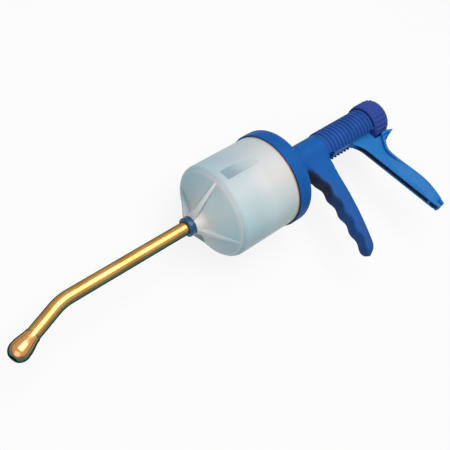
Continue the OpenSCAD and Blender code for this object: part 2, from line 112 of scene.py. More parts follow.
def tidy_mesh(piece):
    edit_all(piece)
    bpy.ops.mesh.remove_doubles(threshold=MERGE)
    bpy.ops.mesh.normals_make_consistent(inside=False)
    bpy.ops.object.mode_set(mode="OBJECT")


def arc(centre, radius, start, end, steps=ARC_STEPS):
    """Points of an arc in a plane, with angles in degrees."""
    angles = [math.radians(start + (end - start) * i / steps) for i in range(steps + 1)]
    return [(centre[0] + radius * math.cos(a), centre[1] + radius * math.sin(a)) for a in angles]


def draw_line(name, points):
    """A line through points in millimetres, drawn by extruding one vertex from each to the next."""
    places = [Vector(point) * MM for point in points]
    bpy.ops.object.select_all(action="DESELECT")
    bpy.ops.mesh.primitive_plane_add(size=MM, location=places[0])
    piece = bpy.context.object
    piece.name = name
    edit_all(piece)
    bpy.ops.mesh.merge(type="CENTER")
    for here, there in zip(places, places[1:]):
        bpy.ops.mesh.extrude_vertices_move(TRANSFORM_OT_translate={"value": there - here})
    bpy.ops.object.mode_set(mode="OBJECT")
    bpy.ops.object.transform_apply(location=True, rotation=True, scale=True)
    return piece


def spin_line(piece, steps, centre=(0, 0, 0), axis=(1, 0, 0)):
    edit_all(piece)
    bpy.ops.mesh.spin(steps=steps, angle=2 * math.pi, center=Vector(centre) * MM, axis=axis)
    bpy.ops.object.mode_set(mode="OBJECT")
    tidy_mesh(piece)


def closed(points):
    return points + points[:1]


def fill(piece, depth):
    """Fills a closed line and gives it a depth, which is a step in millimetres."""
    tidy_mesh(piece)
    edit_all(piece)
    bpy.ops.mesh.edge_face_add()
    bpy.ops.mesh.extrude_region_move(TRANSFORM_OT_translate={"value": Vector(depth) * MM})
    bpy.ops.mesh.select_all(action="DESELECT")
    bpy.ops.object.mode_set(mode="OBJECT")


def turned(name, outline, steps=128):
    """A solid about the barrel's axis, from a closed outline of X and radius in millimetres."""
    piece = draw_line(name, [(x, 0, radius) for x, radius in closed(outline)])
    spin_line(piece, steps)
    return piece


print("drawing tools ready")

# %% Modifiers, copies and finishing
CREASE = math.radians(35)
BEVEL_FROM = math.radians(50)


def apply_modifier(piece, kind, **settings):
    select_only(piece)
    modifier = piece.modifiers.new(kind.lower(), kind)
    for key, value in settings.items():
        setattr(modifier, key, value)
    bpy.ops.object.modifier_apply(modifier=modifier.name)


def combine(piece, other, operation):
    """Joins or cuts a piece with another one, which is then used up."""
    apply_modifier(
        piece, "BOOLEAN", object=other, operation=operation, solver="EXACT", material_mode="TRANSFER"
    )
    bpy.data.objects.remove(other)


def bevel(piece, width, segments):
    apply_modifier(
        piece, "BEVEL", width=width * MM, segments=segments, limit_method="ANGLE", angle_limit=BEVEL_FROM
    )


def turn_about_axis(piece, degrees):
    """Turns a piece about the barrel's axis, and puts the turn in its mesh."""
    piece.rotation_euler.x = math.radians(degrees)
    select_only(piece)
    bpy.ops.object.transform_apply(location=True, rotation=True, scale=True)


def copy_of(node, name):
    """A merged copy of a solid, free of its body."""
    select_only(frame["nodes"][node])
    bpy.ops.object.duplicate()
    piece = bpy.context.object
    piece.name = name
    bpy.ops.object.parent_clear(type="CLEAR_KEEP_TRANSFORM")
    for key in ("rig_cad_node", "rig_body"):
        del piece[key]
    tidy_mesh(piece)
    return piece


def mould(piece, grain, passes):
    """Gives a piece the soft edges that a mould gives: it is rebuilt from small cubes and smoothed."""
    apply_modifier(piece, "REMESH", mode="VOXEL", voxel_size=grain * MM)
    apply_modifier(piece, "SMOOTH", factor=0.5, iterations=passes)


def moulded_copy(node, name, grain, passes):
    piece = copy_of(node, name)
    mould(piece, grain, passes)
    return piece


def smooth_where(piece, inside, passes):
    """Smooths only the points that a test on their place in millimetres lets in."""
    group = piece.vertex_groups.new(name="fillet")
    chosen = [vertex.index for vertex in piece.data.vertices if inside(*(vertex.co / MM))]
    group.add(chosen, 1.0, "REPLACE")
    apply_modifier(piece, "SMOOTH", factor=0.5, iterations=passes, vertex_group="fillet")
    piece.vertex_groups.clear()
    return len(chosen)


def paint(piece, material):
    piece.data.materials.clear()
    piece.data.materials.append(material)


def finish(piece, slot, body, *nodes):
    select_only(piece)
    bpy.ops.object.transform_apply(location=True, rotation=True, scale=True)
    bpy.ops.object.shade_smooth_by_angle(angle=CREASE)
    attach(piece, body)
    if nodes:
        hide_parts(*nodes)
    print(piece.name, "on", body, "faces:", len(piece.data.polygons))


print("finishing tools ready")

# %% [markdown]
# ## Finishes
# Every finish is a Principled shader with noise on Object coordinates. Colours are picked as screen
# values from 0 to 255, because that is how a maker reads them off a picture, and turned into light
# values here.

# %% Node tools
def screen(red, green, blue):
    """A colour picked on a screen, as light."""
    values = [channel / 255 for channel in (red, green, blue)]
    return tuple(v / 12.92 if v <= 0.04045 else ((v + 0.055) / 1.055) ** 2.4 for v in values) + (1.0,)


def new_finish(name):
    material = bpy.data.materials.new(name)
    material.use_nodes = True
    return material, material.node_tree, material.node_tree.nodes["Principled BSDF"]


def noise(tree, scale, detail=3.0, stretch=(1, 1, 1)):
    """Noise on Object coordinates: scale is in patches a metre."""
    place = tree.nodes.new("ShaderNodeTexCoord")
    mapping = tree.nodes.new("ShaderNodeMapping")
    mapping.inputs["Scale"].default_value = stretch
    texture = tree.nodes.new("ShaderNodeTexNoise")
    texture.inputs["Scale"].default_value = scale
    texture.inputs["Detail"].default_value = detail
    tree.links.new(place.outputs["Object"], mapping.inputs["Vector"])
    tree.links.new(mapping.outputs["Vector"], texture.inputs["Vector"])
    return texture.outputs["Fac"]


def ramp(tree, value, low, high, start=0.3, end=0.7):
    """A colour that goes from low to high as a value does."""
    colours = tree.nodes.new("ShaderNodeValToRGB")
    colours.color_ramp.elements[0].position = start
    colours.color_ramp.elements[0].color = low
    colours.color_ramp.elements[1].position = end
    colours.color_ramp.elements[1].color = high
    tree.links.new(value, colours.inputs["Fac"])
    return colours.outputs["Color"]


def spread(tree, value, low, high):
    """A number that goes from low to high as a noise value does."""
    span = tree.nodes.new("ShaderNodeMapRange")
    span.inputs["From Min"].default_value = 0.3
    span.inputs["From Max"].default_value = 0.7
    span.inputs["To Min"].default_value = low
    span.inputs["To Max"].default_value = high
    tree.links.new(value, span.inputs["Value"])
    return span.outputs["Result"]


def bump(tree, shader, height, strength, depth):
    """Fine relief: depth is in millimetres."""
    node = tree.nodes.new("ShaderNodeBump")
    node.inputs["Strength"].default_value = strength
    node.inputs["Distance"].default_value = depth * MM
    tree.links.new(height, node.inputs["Height"])
    tree.links.new(node.outputs["Normal"], shader.inputs["Normal"])


def tint(colour, share):
    return tuple(min(1.0, channel * share) for channel in colour[:3]) + (1.0,)


def painted(tree, part, stops):
    """A colour that follows one Object coordinate, from stops of millimetres and a screen colour."""
    place = tree.nodes.new("ShaderNodeTexCoord")
    parts = tree.nodes.new("ShaderNodeSeparateXYZ")
    share = tree.nodes.new("ShaderNodeMapRange")
    colours = tree.nodes.new("ShaderNodeValToRGB")
    first, last = stops[0][0], stops[-1][0]
    share.inputs["From Min"].default_value = first * MM
    share.inputs["From Max"].default_value = last * MM
    tree.links.new(place.outputs["Object"], parts.inputs["Vector"])
    tree.links.new(parts.outputs[part], share.inputs["Value"])
    tree.links.new(share.outputs["Result"], colours.inputs["Fac"])
    steps = colours.color_ramp.elements
    for place, colour in stops[1:-1]:
        steps.new((place - first) / (last - first)).color = screen(*colour)
    steps[0].color = screen(*stops[0][1])
    steps[len(steps) - 1].color = screen(*stops[-1][1])
    return colours.outputs["Color"]


def multiplied(tree, first, second):
    blend = tree.nodes.new("ShaderNodeMix")
    blend.data_type = "RGBA"
    blend.blend_type = "MULTIPLY"
    blend.inputs["Factor"].default_value = 1.0
    tree.links.new(first, blend.inputs["A"])
    tree.links.new(second, blend.inputs["B"])
    return blend.outputs["Result"]


print("node tools ready")

# %% [markdown]
# ### Moulded blue plastics
# The handle, thread, lever, nut and collar are five blues of one kind of plastic, each with cloudy
# patches from the mould, a fine grain and a gloss that changes a little from place to place. The collar
# is shinier than the rest, and the handle's blue shifts a little down the grip.

# %% Blue plastics
CLOUD_SCALE = 38
GLOSS_SCALE = 160
GRAIN_SCALE = 2600


def moulded_plastic(name, colour, gloss_low, gloss_high, specular=0.25, along_y=None):
    material, tree, shader = new_finish(name)
    coat = ramp(tree, noise(tree, CLOUD_SCALE, 4.0), tint(colour, 0.9), tint(colour, 1.1))
    if along_y:
        coat = multiplied(tree, coat, painted(tree, "Y", along_y))
    tree.links.new(coat, shader.inputs["Base Color"])
    gloss = spread(tree, noise(tree, GLOSS_SCALE), gloss_low, gloss_high)
    tree.links.new(gloss, shader.inputs["Roughness"])
    bump(tree, shader, noise(tree, GRAIN_SCALE, 2.0), 0.1, 0.05)
    shader.inputs["IOR"].default_value = 1.46
    shader.inputs["Specular IOR Level"].default_value = specular
    return material


GRIP_TINTS = [(-100, (255, 228, 224)), (-25, (150, 255, 255))]
handle_plastic = moulded_plastic("handle_plastic", screen(38, 90, 166), 0.48, 0.6, 0.15, GRIP_TINTS)
# The thread's blue is the handle's blue made a little darker, a painted shade of the ridged tube.
thread_plastic_shaded = moulded_plastic("thread_plastic_shaded", screen(36, 82, 158), 0.48, 0.6, 0.15)
lever_plastic = moulded_plastic("lever_plastic", screen(32, 114, 186), 0.42, 0.54, 0.2)
nut_plastic = moulded_plastic("nut_plastic", screen(50, 75, 153), 0.55, 0.68, 0.15)
collar_plastic = moulded_plastic("collar_plastic", screen(14, 72, 114), 0.14, 0.22, 0.5)
print("blue plastics ready")

# %% [markdown]
# ### Painted shade and dark reflections
# The grip's front face close under the flange and the lever's channel are painted darker, as shade, and
# the brass is painted darker along its sides, as dark reflections. A share is written on each point of a
# piece, from its place and the way it faces, and the finish turns darker there. All of it is fixed to the
# gun, so it stays where it is in every view.

# %% Painted shade and dark reflections
def rising(value, start, span):
    """A share that is 0 up to a start and 1 from a span later."""
    return min(1.0, max(0.0, (value - start) / span))


def store(piece, attribute, share_at):
    """Writes a share on every point of a piece, from its place and normal, for a finish to read."""
    layer = piece.data.attributes.new(attribute, "FLOAT", "POINT")
    shares = [share_at(vertex.co / MM, vertex.normal) for vertex in piece.data.vertices]
    layer.data.foreach_set("value", shares)
    return sum(share > 0 for share in shares)


def darkened(material, painted_dark, attribute):
    """Turns a finish darker by the share in a piece's own attribute."""
    tree = material.node_tree
    shader = tree.nodes["Principled BSDF"]
    clean = shader.inputs["Base Color"].links[0].from_socket
    where = tree.nodes.new("ShaderNodeAttribute")
    where.attribute_name = attribute
    blend = tree.nodes.new("ShaderNodeMix")
    blend.data_type = "RGBA"
    blend.inputs["B"].default_value = painted_dark
    tree.links.new(where.outputs["Fac"], blend.inputs["Factor"])
    tree.links.new(clean, blend.inputs["A"])
    tree.links.new(blend.outputs["Result"], shader.inputs["Base Color"])


# Painted shade on the grip's front face and in the lever's channel.
darkened(handle_plastic, screen(44, 48, 62), "painted_dark")
darkened(lever_plastic, screen(64, 62, 86), "painted_dark")
print("soil ready")

# %% [markdown]
# ### Milky barrel plastic
# The barrel lets some light through and blurs what is behind it. A small part of the shader passes
# light with a rough surface, and the rest is a milky body whose tint is painted by place: pale over the
# piston, a little greener and darker in front of it as painted shade in the empty barrel, a thin bright
# line on the shoulder and a bright patch round the funnel's neck as painted highlights. Across the
# barrel the tint is also darker and greener towards both sides, as painted shade. The funnel's ribs and
# the sunk sight panel have tints of their own, and the rib crests and the panel's edges get a paler
# finish as a painted highlight.

# %% Milky plastic
# Painted shade across the barrel: darker and greener towards both sides, whitest a little below the
# middle.
SIDE_PAINTED_SHADE = [
    (-42, (224, 250, 255)), (-30, (236, 250, 255)), (-12, (246, 246, 246)), (16, (232, 238, 242)),
    (32, (222, 242, 250)), (42, (214, 244, 255)),
]


def milky_plastic(name, stops, pass_share, gloss_low, gloss_high):
    material, tree, shader = new_finish(name)
    cloud = ramp(tree, noise(tree, 26, 3.0), (0.92, 0.92, 0.92, 1), (1, 1, 1, 1))
    wall = multiplied(tree, painted(tree, "X", stops), painted(tree, "Y", SIDE_PAINTED_SHADE))
    gloss = spread(tree, noise(tree, 30, 0.0), gloss_low, gloss_high)
    tree.links.new(multiplied(tree, wall, cloud), shader.inputs["Base Color"])
    tree.links.new(gloss, shader.inputs["Roughness"])
    bump(tree, shader, noise(tree, 60, 0.0), 0.05, 0.2)
    shader.inputs["Transmission Weight"].default_value = pass_share
    shader.inputs["IOR"].default_value = 1.25
    return material


# Along the barrel: a painted highlight round the funnel's neck and as a thin white line on the shoulder,
# painted shade in front of the piston, paler over the piston, and a pink band where the gasket shows
# through.
WALL_TINTS_AND_PAINTED_LIGHT = [
    (-85, (250, 244, 234)), (-80, (255, 250, 244)), (-76, (252, 252, 248)), (-72, (232, 252, 255)),
    (-65, (228, 250, 255)), (-64.5, (255, 255, 255)), (-63.6, (255, 255, 255)), (-62.8, (220, 234, 238)),
    (-40, (226, 236, 238)), (-28, (242, 243, 242)), (-1.6, (244, 240, 236)), (-0.8, (226, 172, 150)),
    (0, (226, 172, 150)),
]
# A paler finish for the rib crests and the panel's edges, a painted highlight.
HIGHLIGHT_TINTS = [(-85, (252, 252, 250)), (-64, (255, 255, 255))]
PANEL_TINTS = [
    (-58, (172, 195, 203)), (-47, (180, 201, 208)), (-36, (220, 231, 233)), (-21, (240, 242, 241)),
]
RIB_TINTS = [(-85, (222, 226, 224)), (-64, (196, 216, 222))]
milky = milky_plastic("milky_plastic", WALL_TINTS_AND_PAINTED_LIGHT, 0.18, 0.3, 0.34)
milky_rib = milky_plastic("milky_rib", RIB_TINTS, 0.2, 0.3, 0.34)
milky_highlight = milky_plastic("milky_highlight", HIGHLIGHT_TINTS, 0.1, 0.34, 0.38)
milky_panel = milky_plastic("milky_panel", PANEL_TINTS, 0.2, 0.4, 0.46)
print("milky plastics ready")

# %% [markdown]
# ### Metals, white plastic and rubber
# The tube is drawn brass, so its fine lines run along it. The tip is a pinker alloy, and its hole is
# painted dark as shade. Both have a dark edge tint, and painted dark reflections on their sides. The
# hidden rod is turned steel, and the piston is white plastic with a rubber ring.

# %% Metals
def polished_metal(name, low, high, edge, gloss_low, gloss_high, stretch):
    material, tree, shader = new_finish(name)
    tree.links.new(ramp(tree, noise(tree, 55, 4.0), low, high), shader.inputs["Base Color"])
    gloss = spread(tree, noise(tree, 300, 3.0, stretch), gloss_low, gloss_high)
    tree.links.new(gloss, shader.inputs["Roughness"])
    bump(tree, shader, noise(tree, 1500, 2.0, stretch), 0.08, 0.03)
    shader.inputs["Metallic"].default_value = 1.0
    shader.inputs["Specular Tint"].default_value = edge
    return material


brass = polished_metal(
    "drawn_brass", screen(204, 148, 78), screen(224, 174, 104), screen(60, 76, 58), 0.23, 0.3,
    (0.08, 1, 1)
)
tip_alloy = polished_metal(
    "tip_alloy", screen(226, 156, 96), screen(240, 176, 116), screen(60, 74, 68), 0.18, 0.24, (1, 1, 1)
)
# The brass tube and the tip are painted darker along their sides, as dark reflections.
darkened(brass, screen(76, 106, 94), "painted_reflection")
darkened(tip_alloy, screen(74, 104, 96), "painted_reflection")
steel = polished_metal(
    "turned_steel", screen(176, 180, 186), screen(204, 207, 212), screen(235, 235, 238), 0.2, 0.32,
    (12, 1, 1)
)
print("metals ready")

# %% White plastic and rubber
white_plastic = moulded_plastic("white_plastic", screen(236, 233, 224), 0.35, 0.5)
pale_rubber = moulded_plastic("pale_rubber", screen(222, 216, 204), 0.5, 0.65)
gasket_rubber = moulded_plastic("gasket_rubber", screen(150, 84, 62), 0.55, 0.7)
# The tip's bore is painted near black, as shade in the hole.
bore_painted_shade = moulded_plastic("bore_painted_shade", screen(34, 32, 30), 0.6, 0.75)
print("white plastic and rubber ready")

# %% [markdown]
# ## The barrel
# The real barrel is blown or moulded in one: a straight wall, a round shoulder, a hollow-sided funnel
# and a short outlet boss, with four thin ribs on the funnel and a sunk sight panel. Its wall is one
# closed outline, outside and inside, spun round the axis. The ribs are drawn once, copied and joined
# on, and a soft-edged block cuts the panel.

# %% Barrel sizes and outline
BARREL_R = 42
WALL = 2
BARREL_LEN = 58
SHOULDER_R = 7
FUNNEL_LEN = 25
FUNNEL_R = 8
BOSS_R = 8.5
BOSS_LEN = 2
SPIGOT_LEN = 8
SPIGOT_R = 41.2
FUNNEL_END = BARREL_LEN + FUNNEL_LEN
BOSS_END = FUNNEL_END + BOSS_LEN
NOZZLE_HOLE_R = 5.8
SEAT_R = 7.35
funnel_rise = BOSS_R + FUNNEL_R - (BARREL_R - SHOULDER_R)
funnel_reach = math.hypot(FUNNEL_LEN, funnel_rise)
funnel_slope = math.degrees(
    math.asin((FUNNEL_R + SHOULDER_R) / funnel_reach) - math.atan2(funnel_rise, FUNNEL_LEN)
)


def barrel_front(depth):
    """The shoulder and funnel as X and radius, moved inwards by a depth."""
    shoulder = arc((0, 0), SHOULDER_R - depth, 90, 90 - funnel_slope)
    funnel = arc((0, 0), FUNNEL_R + depth, 90 - funnel_slope, 90)
    return [(-BARREL_LEN - p, BARREL_R - SHOULDER_R + q) for p, q in shoulder] + [
        (-FUNNEL_END + p, BOSS_R + FUNNEL_R - q) for p, q in funnel
    ]


inner_front = [point for point in reversed(barrel_front(WALL)) if point[1] > SEAT_R]
barrel_outline = (
    [(SPIGOT_LEN, SPIGOT_R), (0, SPIGOT_R), (0, BARREL_R)]
    + barrel_front(0)
    + [(-BOSS_END, BOSS_R), (-BOSS_END, NOZZLE_HOLE_R)]
    + [(-FUNNEL_END, NOZZLE_HOLE_R), (-FUNNEL_END, SEAT_R)]
    + inner_front
    + [(SPIGOT_LEN, BARREL_R - WALL)]
)
barrel = turned("barrel_shell", barrel_outline, 160)
paint(barrel, milky)
print("funnel slope:", round(funnel_slope, 1), "degrees, outline points:", len(barrel_outline))

# %% Ribs on the funnel
RIB_T = 2.5
RIB_COUNT = 4
RIB_END_R = 9.4
RIB_SINK = 1
CREST_FACING = 0.6
RIB_FLARE = 2.2
BARREL_TURN = 15
RIB_EDGE = 0.5
rib_foot = barrel_front(RIB_SINK)[::-1]
rib_crest = barrel_front(0)[ARC_STEPS]
rib_outline = [rib_crest, (-BOSS_END, RIB_END_R), (-BOSS_END, BOSS_R - RIB_SINK)] + rib_foot
rib = draw_line("rib", [(x, -RIB_T / 2, radius) for x, radius in closed(rib_outline)])
fill(rib, (0, RIB_T, 0))
for vertex in rib.data.vertices:
    vertex.select = vertex.co.x < (-BOSS_END + 0.1) * MM
bpy.ops.object.mode_set(mode="EDIT")
bpy.ops.transform.resize(value=(1, RIB_FLARE, 1), center_override=(0, 0, 0))
bpy.ops.object.mode_set(mode="OBJECT")
tidy_mesh(rib)
bevel(rib, RIB_EDGE, 2)
paint(rib, milky_rib)
# The rib crests get the paler finish, a painted highlight.
rib.data.materials.append(milky_highlight)
for face in rib.data.polygons:
    face.material_index = int(abs(face.normal.y) < CREST_FACING and face.normal.x < 0)
for number in range(RIB_COUNT):
    select_only(rib)
    bpy.ops.object.duplicate()
    rib_copy = bpy.context.object
    turn_about_axis(rib_copy, number * 360 / RIB_COUNT - BARREL_TURN)
    combine(barrel, rib_copy, "UNION")
bpy.data.objects.remove(rib)
print("ribs:", RIB_COUNT)

# %% Sight panel
PANEL_W = 12
PANEL_LEN = 36
PANEL_DEPTH = 0.6
PANEL_FRONT = 1.5
PANEL_CORNER = 1.5
bpy.ops.object.select_all(action="DESELECT")
panel_middle = Vector((-BARREL_LEN + PANEL_FRONT + PANEL_LEN / 2, 0, BARREL_R - PANEL_DEPTH + PANEL_W / 2))
panel_size = Vector((PANEL_LEN, PANEL_W, PANEL_W))
bpy.ops.mesh.primitive_cube_add(size=1, location=panel_middle * MM, scale=panel_size * MM)
panel = bpy.context.object
bpy.ops.object.transform_apply(location=True, rotation=True, scale=True)
bevel(panel, PANEL_CORNER, 4)
paint(panel, milky_panel)
# The panel's walls get the paler finish, a painted highlight on its edges.
panel.data.materials.append(milky_highlight)
for face in panel.data.polygons:
    face.material_index = int(abs(face.normal.z) < 0.5)
turn_about_axis(panel, -BARREL_TURN)
combine(barrel, panel, "DIFFERENCE")
tidy_mesh(barrel)
finish(barrel, "milky", "body", "barrel")

# %% [markdown]
# ## The handle
# Flange, neck and front grip are one moulding, and no edge on it is sharp. A copy of the solid is
# rebuilt from small cubes and smoothed, which rounds every edge as a mould would, and a second
# smoothing near the grip's root melts it into the neck. Painted shade is then written on the points of
# the grip's front face.

# %% Handle
GRIP_ROOT_FRONT = 34
GRIP_ROOT_BACK = 68.3
GRIP_ROOT_BOTTOM = -26
GRIP_ROOT_TOP = -5
GRIP_ROOT_INSIDE = 4
NECK_SKIN_R = 13.8


def in_grip_root(x, y, z):
    if abs(z) <= GRIP_ROOT_INSIDE or math.hypot(y, z) <= NECK_SKIN_R:
        return False
    return GRIP_ROOT_FRONT < x < GRIP_ROOT_BACK and GRIP_ROOT_BOTTOM < y < GRIP_ROOT_TOP


handle = moulded_copy("handle_body", "handle_moulding", 0.65, 4)
print("fillet points:", smooth_where(handle, in_grip_root, 140))
paint(handle, handle_plastic)


# %% Painted shade on the grip
GRIP_BACK = 62
SHADE_TOP = -12
SHADE_END = -72
SHADE_FADE = 36
GRIP_SHADE = 0.92


def grip_shade_at(place, normal):
    """Painted shade on the grip's front face, darkest close under the flange."""
    if place.x > GRIP_BACK or place.y > SHADE_TOP:
        return 0.0
    return rising(-normal.x, 0.35, 0.3) * GRIP_SHADE * rising(place.y, SHADE_END, SHADE_FADE)


print("soiled points:", store(handle, "painted_dark", grip_shade_at))
finish(handle, "body_blue", "body", "handle_body")

# %% [markdown]
# ## The screw tube
# The tube behind the neck carries the dose nut's thread. A real thread is a helix, so one rounded ridge
# is drawn and the Screw modifier winds it along the tube. It starts and ends over the slot, which then
# cuts its raw ends away.

# %% Screw tube
neck_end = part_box("handle_body")[1].x / MM
tube_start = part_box("screw_tube")[0].x / MM
tube_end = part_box("screw_tube")[1].x / MM
THREAD_PITCH = 4.5
TUBE_BORE_R = 12.3
ROOT_R = 14.5
CREST_R = 15.8
SOCKET_R = 13.3
SLOT_W = 19.5
SLOT_START = 0.2
tube = turned(
    "screw_tube_core",
    [(tube_start, TUBE_BORE_R), (tube_start, SOCKET_R), (neck_end, SOCKET_R), (neck_end, ROOT_R),
     (tube_end, ROOT_R), (tube_end, TUBE_BORE_R)],
)
RIDGE_HALF = 1.7
CREST_HALF = 0.7
RIDGE_SINK = 0.4
RIDGE_EDGE = 0.5
THREAD_STEPS = 72
back_edge = arc((CREST_HALF, CREST_R - RIDGE_EDGE), RIDGE_EDGE, 20, 90, 4)
front_edge = arc((-CREST_HALF, CREST_R - RIDGE_EDGE), RIDGE_EDGE, 90, 160, 4)
ridge_top = back_edge + front_edge
ridge = [(RIDGE_HALF, ROOT_R - RIDGE_SINK), (RIDGE_HALF, ROOT_R)] + ridge_top
ridge += [(-RIDGE_HALF, ROOT_R), (-RIDGE_HALF, ROOT_R - RIDGE_SINK)]
thread_start = neck_end + 2
turns = math.floor((tube_end - thread_start - 1) / THREAD_PITCH)
thread = draw_line("thread", [(thread_start + x, -radius, 0) for x, radius in closed(ridge)])
tidy_mesh(thread)
apply_modifier(
    thread, "SCREW", axis="X", angle=2 * math.pi, screw_offset=THREAD_PITCH * MM, iterations=turns,
    steps=THREAD_STEPS, render_steps=THREAD_STEPS, use_merge_vertices=True, merge_threshold=MERGE
)
edit_all(thread)
bpy.ops.mesh.select_all(action="DESELECT")
bpy.ops.mesh.select_mode(type="EDGE")
bpy.ops.mesh.select_non_manifold()
bpy.ops.mesh.edge_face_add()
bpy.ops.object.mode_set(mode="OBJECT")
tidy_mesh(thread)
combine(tube, thread, "UNION")
print("thread turns:", turns)

# %% Slot
slot_end = tube_end + 5
slot_start = neck_end + SLOT_START
bpy.ops.object.select_all(action="DESELECT")
bpy.ops.mesh.primitive_cube_add(
    size=1, location=Vector(((slot_start + slot_end) / 2, -CREST_R, 0)) * MM,
    scale=Vector((slot_end - slot_start, 2 * CREST_R, SLOT_W)) * MM
)
slot_cutter = bpy.context.object
bpy.ops.object.transform_apply(location=True, rotation=True, scale=True)
combine(tube, slot_cutter, "DIFFERENCE")
tidy_mesh(tube)
paint(tube, thread_plastic_shaded)
finish(tube, "thread_blue", "body", "screw_tube")

# %% [markdown]
# ## The rear lever
# Carriage, saddle, hollow web, palm plate and spur are one moulding too. A shallow recess is cut in
# each side of the spur. The moulding then gets the same soft edges, with a finer grain because its
# walls are thin, its end is smoothed a little more, and painted shade is written on the points of its
# channel.

# %% Rear lever
SPUR_RECESS = [(149.5, -21.7), (136.5, -21.5), (135, -28.6), (140.5, -24.7)]
RECESS_DEPTH = 2.5
SPUR_SIDE = 7.5
lever = copy_of("rear_lever", "lever_moulding")
for side in (-1, 1):
    floor_at = side * (SPUR_SIDE - RECESS_DEPTH)
    recess = draw_line("recess", [(x, y, floor_at) for x, y in closed(SPUR_RECESS)])
    fill(recess, (0, 0, side * 2 * RECESS_DEPTH))
    tidy_mesh(recess)
    combine(lever, recess, "DIFFERENCE")
mould(lever, 0.42, 4)
paint(lever, lever_plastic)

# %% Lever end and painted shade in its channel
LEVER_FRONT = Vector((110.4, -16.5))
LEVER_LEAN = math.radians(15.3)
LEVER_END_AT = 91
CHANNEL_HALF = 2.2
CHANNEL_TOP = -18
LEVER_ROOT_LOW = -45
CHANNEL_SHADE = 0.9
RIM_DEPTH = 0.3
lever_back = Vector((math.cos(LEVER_LEAN), math.sin(LEVER_LEAN)))
lever_down = Vector((math.sin(LEVER_LEAN), -math.cos(LEVER_LEAN)))


def at_lever_end(x, y, z):
    return (Vector((x, y)) - LEVER_FRONT).dot(lever_down) > LEVER_END_AT


print("end points:", smooth_where(lever, at_lever_end, 40))


def channel_shade_at(place, normal):
    """Painted shade in the lever's open channel, from its root down, but not on the tie across it."""
    if abs(place.z) > CHANNEL_HALF or place.y > CHANNEL_TOP or normal.xy.dot(lever_back) > 0.4:
        return 0.0
    if place.y > LEVER_ROOT_LOW:
        return CHANNEL_SHADE
    return min(CHANNEL_SHADE, max(0.0, (place.xy - LEVER_FRONT).dot(lever_back) - RIM_DEPTH))


print("soiled points:", store(lever, "painted_dark", channel_shade_at))
finish(lever, "lever_blue", "plunger", "rear_lever")

# %% [markdown]
# ## The dose stop
# The fluted nut turns on the thread, and a keyed washer in front of it meets the lever. Both are small
# mouldings.

# %% Dose nut and stop washer
nut = moulded_copy("dose_nut", "dose_nut_moulding", 0.34, 2)
paint(nut, nut_plastic)
finish(nut, "nut_blue", "dose_nut", "dose_nut")
washer = moulded_copy("stop_washer", "stop_washer_moulding", 0.3, 2)
paint(washer, nut_plastic)
finish(washer, "nut_blue", "dose_stop", "stop_washer")

# %% [markdown]
# ## The nozzle
# The brass tube runs straight out of the barrel, bends once and ends in a bulb that can't scratch an
# animal's throat. A ring of vertices is extruded along the straight, spun round the bend's centre and
# extruded again, and Solidify gives it its wall. A short ring at each end keeps the rims' slanted
# normals, and so their painted dark reflections, out of sight. The tip and the collar are outlines
# turned round the tube's axis.

# %% Nozzle tube
TUBE_R = 5.75
TUBE_WALL = 1
BEND_AT = 210
BEND_ANGLE = math.radians(19.5)
BEND_R = 45
TIP_REACH = 54
BULB_LEN = 22
TUBE_SEAT = 7
END_RING = 3
bend_run = BEND_R * math.tan(BEND_ANGLE / 2)
bend_start = -BEND_AT + bend_run
tube_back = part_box("nozzle_tube")[1].x / MM
tip_axis = Vector((-math.cos(BEND_ANGLE), -math.sin(BEND_ANGLE), 0))
bend_corner = Vector((-BEND_AT, 0, 0))
bpy.ops.object.select_all(action="DESELECT")
bpy.ops.mesh.primitive_circle_add(
    vertices=64, radius=TUBE_R * MM, location=Vector((tube_back, 0, 0)) * MM, rotation=(0, math.pi / 2, 0)
)
nozzle = bpy.context.object
nozzle.name = "nozzle_tube_drawn"
bpy.ops.object.transform_apply(location=True, rotation=True, scale=True)
edit_all(nozzle)
straight_back = bend_start - tube_back + END_RING
bpy.ops.mesh.extrude_region_move(TRANSFORM_OT_translate={"value": (-END_RING * MM, 0, 0)})
bpy.ops.mesh.extrude_region_move(TRANSFORM_OT_translate={"value": (straight_back * MM, 0, 0)})
bend_centre = Vector((bend_start, -BEND_R, 0))
bpy.ops.mesh.spin(steps=24, angle=-BEND_ANGLE, center=bend_centre * MM, axis=(0, 0, 1))
straight_end = TIP_REACH - BULB_LEN + TUBE_SEAT - bend_run - END_RING
bpy.ops.mesh.extrude_region_move(TRANSFORM_OT_translate={"value": tip_axis * straight_end * MM})
bpy.ops.mesh.extrude_region_move(TRANSFORM_OT_translate={"value": tip_axis * END_RING * MM})
bpy.ops.object.mode_set(mode="OBJECT")
tidy_mesh(nozzle)
apply_modifier(nozzle, "SOLIDIFY", thickness=TUBE_WALL * MM, offset=-1, use_rim=True)
paint(nozzle, brass)

# %% Painted dark reflections on the tube
BRIGHT_FROM = 0.78
REFLECTION_FADE = 0.25


def painted_reflection_at(place, normal):
    """Painted dark reflection: darker where the metal faces along the gun's middle plane, and bright above
    and below.
    """
    return rising(-abs(normal.z), -BRIGHT_FROM, REFLECTION_FADE)


print("reflection_painted points:", store(nozzle, "painted_reflection", painted_reflection_at))
finish(nozzle, "brass", "body", "nozzle_tube")

